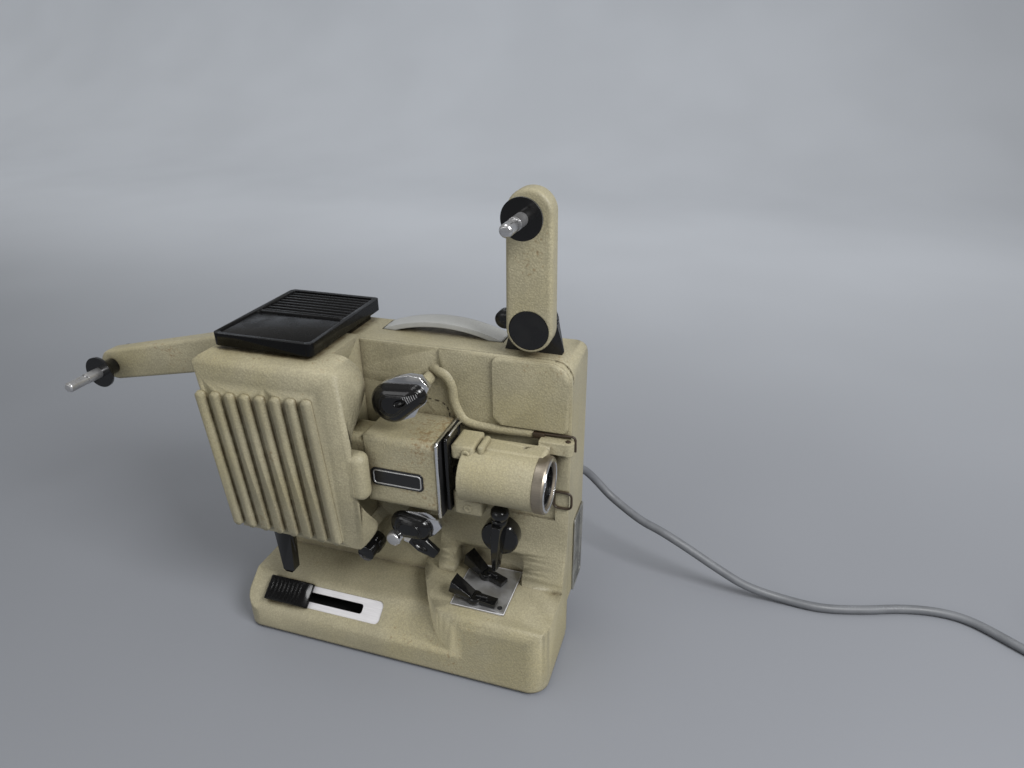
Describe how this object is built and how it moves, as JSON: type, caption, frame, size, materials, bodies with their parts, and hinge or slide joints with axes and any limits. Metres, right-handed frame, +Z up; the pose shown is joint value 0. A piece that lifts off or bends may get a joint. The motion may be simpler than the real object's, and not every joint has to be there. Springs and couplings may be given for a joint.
{
  "type": "movie projector",
  "caption": "Narrow-gauge film projector with lamp house, swing-out lens, folding reel arms, slide and lever controls and a mains cord",
  "frame": {"origin": "centre of the base footprint, on the table", "axes": "+X to the lens side, +Y away from the operator, +Z up"},
  "size_m": [0.8164, 0.2629, 0.3255],
  "materials": {
    "paint": "hammered, worn",
    "black_gloss": "polished",
    "chrome": "polished, worn",
    "steel": "turned",
    "aluminium": "satin",
    "dark_metal": "matt",
    "vent_metal": "satin",
    "plate_black": "satin",
    "rubber": "matt",
    "cord_grey": "satin",
    "lens_glass": "coated",
    "lamp_glass": "clear",
    "mirror": "polished",
    "switch_plastic": "matt",
    "handle_plastic": "satin"
  },
  "bodies": {
    "chassis": {"front_casting": "paint", "rear_cover": "paint", "base_plate": "dark_metal", "feet": "rubber", "vent_grille": "vent_metal", "top_grille": "black_gloss", "condenser_housing": "paint", "name_plate": "plate_black", "condenser_lenses": "lens_glass", "film_gate": "chrome", "lamp_socket": "dark_metal", "lamp": "lamp_glass", "reflector": "mirror", "switch_plate": "aluminium", "speed_plate": "chrome", "arm_brackets": "black_gloss", "motor": "dark_metal", "transformer": "dark_metal", "bearing_blocks": "aluminium", "drive_belt": "rubber", "rotary_switch": "switch_plastic", "cover_screws": "steel", "carrier_hinge": "black_gloss", "carrier_spring": "steel", "cord_gland": "rubber", "cord_run": "cord_grey", "cord_coil": "cord_grey", "plug": "cord_grey"},
    "lamp_cover": {"lamp_cover": "paint"},
    "cover_latch": {"cover_latch": "black_gloss"},
    "claw": {"claw": "steel"},
    "motor_rotor": {"motor_rotor": "steel"},
    "main_shaft": {"main_shaft": "steel"},
    "shutter": {"shutter_shaft": "steel", "shutter_disc": "dark_metal"},
    "upper_sprocket": {"upper_sprocket": "aluminium"},
    "lower_sprocket": {"lower_sprocket": "aluminium"},
    "upper_guide": {"upper_guide": "black_gloss", "upper_guide_shoe": "chrome"},
    "lower_guide": {"lower_guide": "black_gloss", "lower_guide_shoe": "chrome"},
    "inching_knob": {"inching_knob": "black_gloss"},
    "main_knob": {"main_knob": "black_gloss"},
    "upper_lever": {"upper_lever": "black_gloss"},
    "lower_lever": {"lower_lever": "black_gloss"},
    "speed_slider": {"speed_slider": "black_gloss"},
    "lens_carrier": {"lens_carrier": "paint", "pressure_plate": "chrome"},
    "focus_ring": {"focus_ring": "aluminium"},
    "lens_barrel": {"lens_barrel": "black_gloss", "lens_glass": "lens_glass"},
    "feed_arm": {"feed_arm": "paint"},
    "feed_spindle": {"feed_hub": "black_gloss", "feed_spindle": "chrome"},
    "feed_tip": {"feed_tip": "chrome"},
    "takeup_arm": {"takeup_arm": "paint"},
    "takeup_spindle": {"takeup_hub": "black_gloss", "takeup_spindle": "chrome"},
    "takeup_tip": {"takeup_tip": "chrome"},
    "handle": {"handle": "handle_plastic"}
  },
  "joints": [
    {"name": "lamp_cover_pull", "type": "slide", "parent": "chassis", "child": "lamp_cover", "axis": [0, -1, 0], "range_m": [0, 0.06]},
    {"name": "cover_latch_turn", "type": "hinge", "parent": "lamp_cover", "child": "cover_latch", "pos_m": [-0.08, -0.036, 0.082], "axis": [0, 0, 1], "range_deg": [0, 90]},
    {"name": "claw_stroke", "type": "slide", "parent": "chassis", "child": "claw", "axis": [0, 0, -1], "range_m": [0, 0.0038]},
    {"name": "motor_spin", "type": "hinge", "parent": "chassis", "child": "motor_rotor", "pos_m": [0.02, 0.03, 0.06], "axis": [1, 0, 0], "continuous": true},
    {"name": "main_shaft_spin", "type": "hinge", "parent": "chassis", "child": "main_shaft", "pos_m": [0, 0.021, 0.149], "axis": [1, 0, 0], "continuous": true},
    {"name": "shutter_spin", "type": "hinge", "parent": "chassis", "child": "shutter", "pos_m": [0.02, 0.001, 0.149], "axis": [-1, 0, 0], "continuous": true},
    {"name": "upper_sprocket_spin", "type": "hinge", "parent": "chassis", "child": "upper_sprocket", "pos_m": [0.01, 0, 0.1945], "axis": [0, -1, 0], "continuous": true},
    {"name": "lower_sprocket_spin", "type": "hinge", "parent": "chassis", "child": "lower_sprocket", "pos_m": [0.0145, 0, 0.1005], "axis": [0, -1, 0], "continuous": true},
    {"name": "upper_guide_open", "type": "hinge", "parent": "chassis", "child": "upper_guide", "pos_m": [0.0215, -0.01, 0.2008], "axis": [0, 1, 0], "range_deg": [0, 35]},
    {"name": "lower_guide_open", "type": "hinge", "parent": "chassis", "child": "lower_guide", "pos_m": [0.0036, -0.01, 0.0915], "axis": [0, 1, 0], "range_deg": [0, 30]},
    {"name": "inching_knob_spin", "type": "hinge", "parent": "chassis", "child": "inching_knob", "pos_m": [-0.0187, -0.02, 0.0756], "axis": [0, -1, 0], "continuous": true},
    {"name": "main_knob_turn", "type": "hinge", "parent": "chassis", "child": "main_knob", "pos_m": [0.075, -0.01, 0.0985], "axis": [0, 1, 0], "range_deg": [-10, 80]},
    {"name": "upper_lever_turn", "type": "hinge", "parent": "chassis", "child": "upper_lever", "pos_m": [0.0618, -0.006, 0.057], "axis": [0, 0, 1], "range_deg": [0, 38]},
    {"name": "lower_lever_turn", "type": "hinge", "parent": "chassis", "child": "lower_lever", "pos_m": [0.062, -0.031, 0.057], "axis": [0, 0, 1], "range_deg": [0, 30]},
    {"name": "speed_slide", "type": "slide", "parent": "chassis", "child": "speed_slider", "axis": [1, 0, 0], "range_m": [0, 0.054]},
    {"name": "carrier_swing", "type": "hinge", "parent": "chassis", "child": "lens_carrier", "pos_m": [0.1165, 0.0005, 0.165], "axis": [0, 0, 1], "range_deg": [0, 70]},
    {"name": "focus_turn", "type": "hinge", "parent": "lens_carrier", "child": "focus_ring", "pos_m": [0.107, -0.018, 0.149], "axis": [1, 0, 0], "range_deg": [-150, 150]},
    {"name": "barrel_focus", "type": "slide", "parent": "lens_carrier", "child": "lens_barrel", "axis": [1, 0, 0], "range_m": [-0.0026, 0.0026]},
    {"name": "feed_arm_fold", "type": "hinge", "parent": "chassis", "child": "feed_arm", "pos_m": [0.0893, 0.011, 0.2415], "axis": [0, -1, 0], "range_deg": [0, 90]},
    {"name": "feed_spindle_spin", "type": "hinge", "parent": "feed_arm", "child": "feed_spindle", "pos_m": [0.0893, 0.011, 0.3115], "axis": [0, -1, 0], "continuous": true},
    {"name": "feed_tip_fold", "type": "hinge", "parent": "feed_spindle", "child": "feed_tip", "pos_m": [0.0893, -0.025, 0.3115], "axis": [1, 0, 0], "range_deg": [0, 80]},
    {"name": "takeup_arm_fold", "type": "hinge", "parent": "chassis", "child": "takeup_arm", "pos_m": [-0.135, 0.011, 0.1995], "axis": [0, -1, 0], "range_deg": [-12, 76]},
    {"name": "takeup_spindle_spin", "type": "hinge", "parent": "takeup_arm", "child": "takeup_spindle", "pos_m": [-0.24398, 0.011, 0.17594], "axis": [0, -1, 0], "continuous": true},
    {"name": "takeup_tip_fold", "type": "hinge", "parent": "takeup_spindle", "child": "takeup_tip", "pos_m": [-0.24398, -0.025, 0.17594], "axis": [1, 0, 0], "range_deg": [0, 80]},
    {"name": "handle_lift", "type": "slide", "parent": "chassis", "child": "handle", "axis": [0, 0, 1], "range_m": [0, 0.012]}
  ],
  "couplings": [
    {"joint": "main_shaft_spin", "follows": "motor_spin", "ratio": 0.5556},
    {"joint": "shutter_spin", "follows": "motor_spin", "ratio": 1.1458},
    {"joint": "upper_sprocket_spin", "follows": "motor_spin", "ratio": 0.05},
    {"joint": "lower_sprocket_spin", "follows": "motor_spin", "ratio": 0.05},
    {"joint": "inching_knob_spin", "follows": "motor_spin", "ratio": 0.05},
    {"joint": "takeup_spindle_spin", "follows": "motor_spin", "ratio": 0.05},
    {"joint": "focus_turn", "follows": "barrel_focus", "rad_per_m": 1000}
  ]
}
